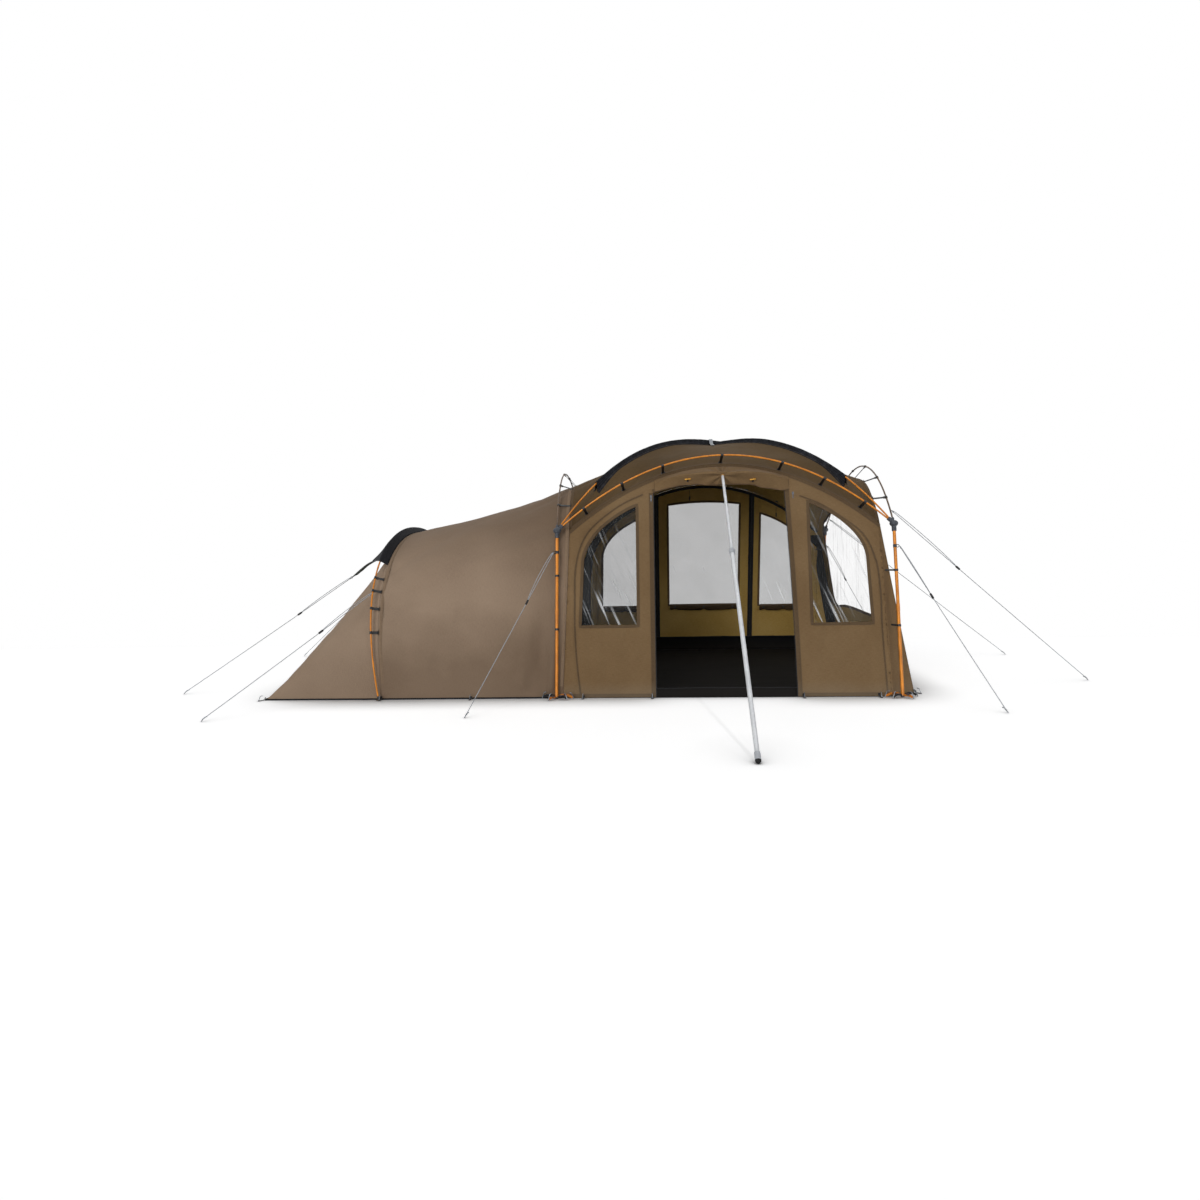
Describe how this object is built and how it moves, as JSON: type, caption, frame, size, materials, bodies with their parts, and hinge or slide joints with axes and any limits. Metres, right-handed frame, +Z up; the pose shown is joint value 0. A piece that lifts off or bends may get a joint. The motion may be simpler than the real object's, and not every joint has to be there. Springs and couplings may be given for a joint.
{
  "type": "family tunnel dome tent",
  "caption": "Family tent with a square living dome on arched poles, a sleeping tunnel that ends in a leaning hoop, clear windows, open door, awning pole and pegged guy lines.",
  "frame": {"origin": "on the ground, under the crossing of the two diagonal roof poles, on the groundsheet's underside", "axes": "+X away from the sleeping tunnel, to the right of somebody who faces the front door; +Y to the rear wall; +Z up"},
  "size_m": [7.77, 5.3439, 2.1806],
  "materials": {
    "canvas": "matt coated polyester canvas, tan brown",
    "black_canvas": "matt black webbing and canvas",
    "inner_cloth": "dark breathable cloth and mesh",
    "groundsheet": "black coated groundsheet, slight sheen",
    "clear_film": "clear flexible film",
    "orange_pole": "satin orange anodised alloy tube",
    "grey_pole": "satin grey-brown tube",
    "hub_grey": "moulded blue-grey nylon",
    "alloy": "bright drawn alloy tube",
    "black_plastic": "moulded black plastic",
    "rubber": "black rubber",
    "zip_metal": "plated zip slider",
    "guy_cord": "braided pale grey reflective cord; steel peg in the same node"
  },
  "bodies": {
    "tent": {"leg_front_left": "orange_pole", "hub_front_left": "hub_grey", "leg_front_right": "orange_pole", "hub_front_right": "hub_grey", "leg_rear_left": "orange_pole", "hub_rear_left": "hub_grey", "leg_rear_right": "orange_pole", "hub_rear_right": "hub_grey", "arch_front": "orange_pole", "arch_rear": "orange_pole", "arch_right": "grey_pole", "arch_left": "grey_pole", "diagonal_upper": "orange_pole", "diagonal_lower": "orange_pole", "sleeve_upper": "black_canvas", "sleeve_lower": "black_canvas", "hoop_rear": "orange_pole", "roof": "canvas", "wall_front": "canvas", "wall_rear": "canvas", "wall_right": "canvas", "tunnel": "canvas", "tail": "canvas", "hood": "black_canvas", "groundsheet": "groundsheet", "inner_wall": "inner_cloth", "curtain": "inner_cloth", "window_front_left": "clear_film", "window_front_right": "clear_film", "window_rear_left": "clear_film", "window_rear_middle": "clear_film", "window_rear_right": "clear_film", "window_side": "clear_film", "door_canopy": "canvas", "guy_front_left": "guy_cord", "guy_front_right": "guy_cord", "guy_rear_left": "guy_cord", "guy_rear_right": "guy_cord", "guy_side_front": "guy_cord", "guy_side_rear": "guy_cord", "guy_hoop_front": "guy_cord", "guy_hoop_rear": "guy_cord", "guy_hood_front": "guy_cord", "guy_hood_rear": "guy_cord"},
    "awning_upper": {"awning_pole_upper": "alloy"},
    "awning_lower": {"awning_pole_lower": "alloy", "awning_pole_foot": "rubber"},
    "awning_collar": {"awning_pole_collar": "black_plastic"},
    "zip_left": {"zip_left": "zip_metal"},
    "zip_right": {"zip_right": "zip_metal"},
    "runner_front_left": {"runner_front_left": "black_plastic"},
    "runner_front_right": {"runner_front_right": "black_plastic"},
    "runner_rear_left": {"runner_rear_left": "black_plastic"},
    "runner_rear_right": {"runner_rear_right": "black_plastic"},
    "runner_side_front": {"runner_side_front": "black_plastic"},
    "runner_side_rear": {"runner_side_rear": "black_plastic"},
    "runner_hoop_front": {"runner_hoop_front": "black_plastic"},
    "runner_hoop_rear": {"runner_hoop_rear": "black_plastic"},
    "runner_hood_front": {"runner_hood_front": "black_plastic"},
    "runner_hood_rear": {"runner_hood_rear": "black_plastic"}
  },
  "joints": [
    {"name": "awning_swing", "type": "hinge", "parent": "tent", "child": "awning_upper", "pos_m": [0, -1.196, 1.762], "axis": [-1, 0, 0], "range_deg": [0, 18]},
    {"name": "awning_telescope", "type": "slide", "parent": "awning_upper", "child": "awning_lower", "axis": [0, 0.7491, 0.6625], "range_m": [0, 0.42]},
    {"name": "awning_lock_twist", "type": "hinge", "parent": "awning_lower", "child": "awning_collar", "pos_m": [0, -1.87916, 1.15782], "axis": [0, 0.7491, 0.6625], "range_deg": [0, 90]},
    {"name": "zip_left_run", "type": "slide", "parent": "tent", "child": "zip_left", "axis": [0, -0.1792, -0.9838], "range_m": [0, 1.45]},
    {"name": "zip_right_run", "type": "slide", "parent": "tent", "child": "zip_right", "axis": [0, -0.1792, -0.9838], "range_m": [0, 1.45]},
    {"name": "runner_front_left_slide", "type": "slide", "parent": "tent", "child": "runner_front_left", "axis": [-0.3651, -0.5383, -0.7596], "range_m": [-0.25, 0.6]},
    {"name": "runner_front_right_slide", "type": "slide", "parent": "tent", "child": "runner_front_right", "axis": [0.3479, -0.4951, -0.7962], "range_m": [-0.25, 0.6]},
    {"name": "runner_rear_left_slide", "type": "slide", "parent": "tent", "child": "runner_rear_left", "axis": [-0.3651, 0.5383, -0.7596], "range_m": [-0.25, 0.6]},
    {"name": "runner_rear_right_slide", "type": "slide", "parent": "tent", "child": "runner_rear_right", "axis": [0.5122, 0.2563, -0.8197], "range_m": [-0.25, 0.6]},
    {"name": "runner_side_front_slide", "type": "slide", "parent": "tent", "child": "runner_side_front", "axis": [0.7599, 0.1406, -0.6347], "range_m": [-0.25, 0.6]},
    {"name": "runner_side_rear_slide", "type": "slide", "parent": "tent", "child": "runner_side_rear", "axis": [0.7599, -0.1406, -0.6347], "range_m": [-0.25, 0.6]},
    {"name": "runner_hoop_front_slide", "type": "slide", "parent": "tent", "child": "runner_hoop_front", "axis": [-0.6163, -0.5689, -0.5446], "range_m": [-0.25, 0.6]},
    {"name": "runner_hoop_rear_slide", "type": "slide", "parent": "tent", "child": "runner_hoop_rear", "axis": [-0.6163, 0.5689, -0.5446], "range_m": [-0.25, 0.6]},
    {"name": "runner_hood_front_slide", "type": "slide", "parent": "tent", "child": "runner_hood_front", "axis": [-0.7355, -0.3883, -0.5551], "range_m": [-0.25, 0.6]},
    {"name": "runner_hood_rear_slide", "type": "slide", "parent": "tent", "child": "runner_hood_rear", "axis": [-0.7355, 0.3883, -0.5551], "range_m": [-0.25, 0.6]}
  ]
}
